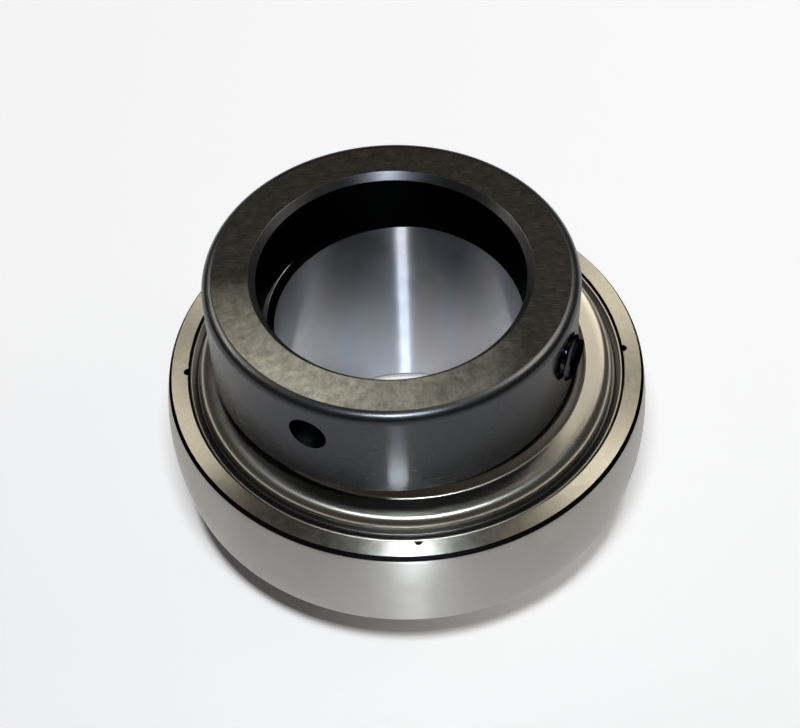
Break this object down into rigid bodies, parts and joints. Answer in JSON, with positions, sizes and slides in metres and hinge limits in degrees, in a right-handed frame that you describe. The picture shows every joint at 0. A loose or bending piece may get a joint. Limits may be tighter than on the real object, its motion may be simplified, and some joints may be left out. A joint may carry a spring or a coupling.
{
  "type": "ball bearing",
  "caption": "Ball bearing insert with a spherical outside, an extended inner ring, a seal on each side and an eccentric locking collar with a set screw.",
  "frame": {"origin": "centre of the outer ring's sphere, on the shaft's axis, in the plane of the balls", "axes": "+Z along the shaft's axis, from the ball plane toward the locking collar; +X to the right and -Y toward the viewer of the reference view"},
  "size_m": [0.085, 0.085, 0.0551],
  "materials": {
    "outer_ring_steel": "satin ground bearing steel",
    "inner_ring_steel": "ground bearing steel with a honed bore",
    "ball_steel": "polished bearing steel",
    "cage_steel": "pressed steel sheet",
    "shroud_steel": "satin pressed steel sheet, warm grey",
    "seal_rubber": "black rubber",
    "collar_steel": "black oxide steel, satin",
    "screw_steel": "black oxide steel, shiny"
  },
  "bodies": {
    "outer_ring": {"outer_ring": "outer_ring_steel", "upper_seal_shroud": "shroud_steel", "upper_seal_washer": "seal_rubber", "upper_seal_backing": "cage_steel", "lower_seal_shroud": "shroud_steel", "lower_seal_washer": "seal_rubber", "lower_seal_backing": "cage_steel"},
    "inner_ring": {"inner_ring": "inner_ring_steel"},
    "cage": {"cage_upper_half": "cage_steel", "cage_lower_half": "cage_steel", "cage_rivets": "cage_steel"},
    "locking_collar": {"locking_collar": "collar_steel"},
    "set_screw": {"set_screw": "screw_steel"},
    "ball_1": {"ball_1": "ball_steel"},
    "ball_2": {"ball_2": "ball_steel"},
    "ball_3": {"ball_3": "ball_steel"},
    "ball_4": {"ball_4": "ball_steel"},
    "ball_5": {"ball_5": "ball_steel"},
    "ball_6": {"ball_6": "ball_steel"},
    "ball_7": {"ball_7": "ball_steel"},
    "ball_8": {"ball_8": "ball_steel"},
    "ball_9": {"ball_9": "ball_steel"}
  },
  "joints": [
    {"name": "inner_ring_spin", "type": "hinge", "parent": "outer_ring", "child": "inner_ring", "pos_m": [0, 0, 0], "axis": [0, 0, 1], "continuous": true},
    {"name": "cage_spin", "type": "hinge", "parent": "outer_ring", "child": "cage", "pos_m": [0, 0, 0], "axis": [0, 0, 1], "continuous": true},
    {"name": "collar_turn", "type": "hinge", "parent": "inner_ring", "child": "locking_collar", "pos_m": [-0.00075, -0.00093, 0.018], "axis": [0, 0, 1], "continuous": true},
    {"name": "set_screw_travel", "type": "slide", "parent": "locking_collar", "child": "set_screw", "axis": [0.8949, -0.4462, 0], "range_m": [-0.0026, 0.003]},
    {"name": "ball_1_spin", "type": "hinge", "parent": "cage", "child": "ball_1", "pos_m": [0.0249, 0.02089, 0], "axis": [0, 0, 1], "continuous": true},
    {"name": "ball_2_spin", "type": "hinge", "parent": "cage", "child": "ball_2", "pos_m": [0.00564, 0.03201, 0], "axis": [0, 0, 1], "continuous": true},
    {"name": "ball_3_spin", "type": "hinge", "parent": "cage", "child": "ball_3", "pos_m": [-0.01625, 0.02815, 0], "axis": [0, 0, 1], "continuous": true},
    {"name": "ball_4_spin", "type": "hinge", "parent": "cage", "child": "ball_4", "pos_m": [-0.03054, 0.01112, 0], "axis": [0, 0, 1], "continuous": true},
    {"name": "ball_5_spin", "type": "hinge", "parent": "cage", "child": "ball_5", "pos_m": [-0.03054, -0.01112, 0], "axis": [0, 0, 1], "continuous": true},
    {"name": "ball_6_spin", "type": "hinge", "parent": "cage", "child": "ball_6", "pos_m": [-0.01625, -0.02815, 0], "axis": [0, 0, 1], "continuous": true},
    {"name": "ball_7_spin", "type": "hinge", "parent": "cage", "child": "ball_7", "pos_m": [0.00564, -0.03201, 0], "axis": [0, 0, 1], "continuous": true},
    {"name": "ball_8_spin", "type": "hinge", "parent": "cage", "child": "ball_8", "pos_m": [0.0249, -0.02089, 0], "axis": [0, 0, 1], "continuous": true},
    {"name": "ball_9_spin", "type": "hinge", "parent": "cage", "child": "ball_9", "pos_m": [0.0325, 0, 0], "axis": [0, 0, 1], "continuous": true}
  ],
  "couplings": [
    {"joint": "cage_spin", "follows": "inner_ring_spin", "ratio": 0.4023},
    {"joint": "ball_1_spin", "follows": "inner_ring_spin", "ratio": -2.4614},
    {"joint": "ball_2_spin", "follows": "inner_ring_spin", "ratio": -2.4614},
    {"joint": "ball_3_spin", "follows": "inner_ring_spin", "ratio": -2.4614},
    {"joint": "ball_4_spin", "follows": "inner_ring_spin", "ratio": -2.4614},
    {"joint": "ball_5_spin", "follows": "inner_ring_spin", "ratio": -2.4614},
    {"joint": "ball_6_spin", "follows": "inner_ring_spin", "ratio": -2.4614},
    {"joint": "ball_7_spin", "follows": "inner_ring_spin", "ratio": -2.4614},
    {"joint": "ball_8_spin", "follows": "inner_ring_spin", "ratio": -2.4614},
    {"joint": "ball_9_spin", "follows": "inner_ring_spin", "ratio": -2.4614}
  ]
}
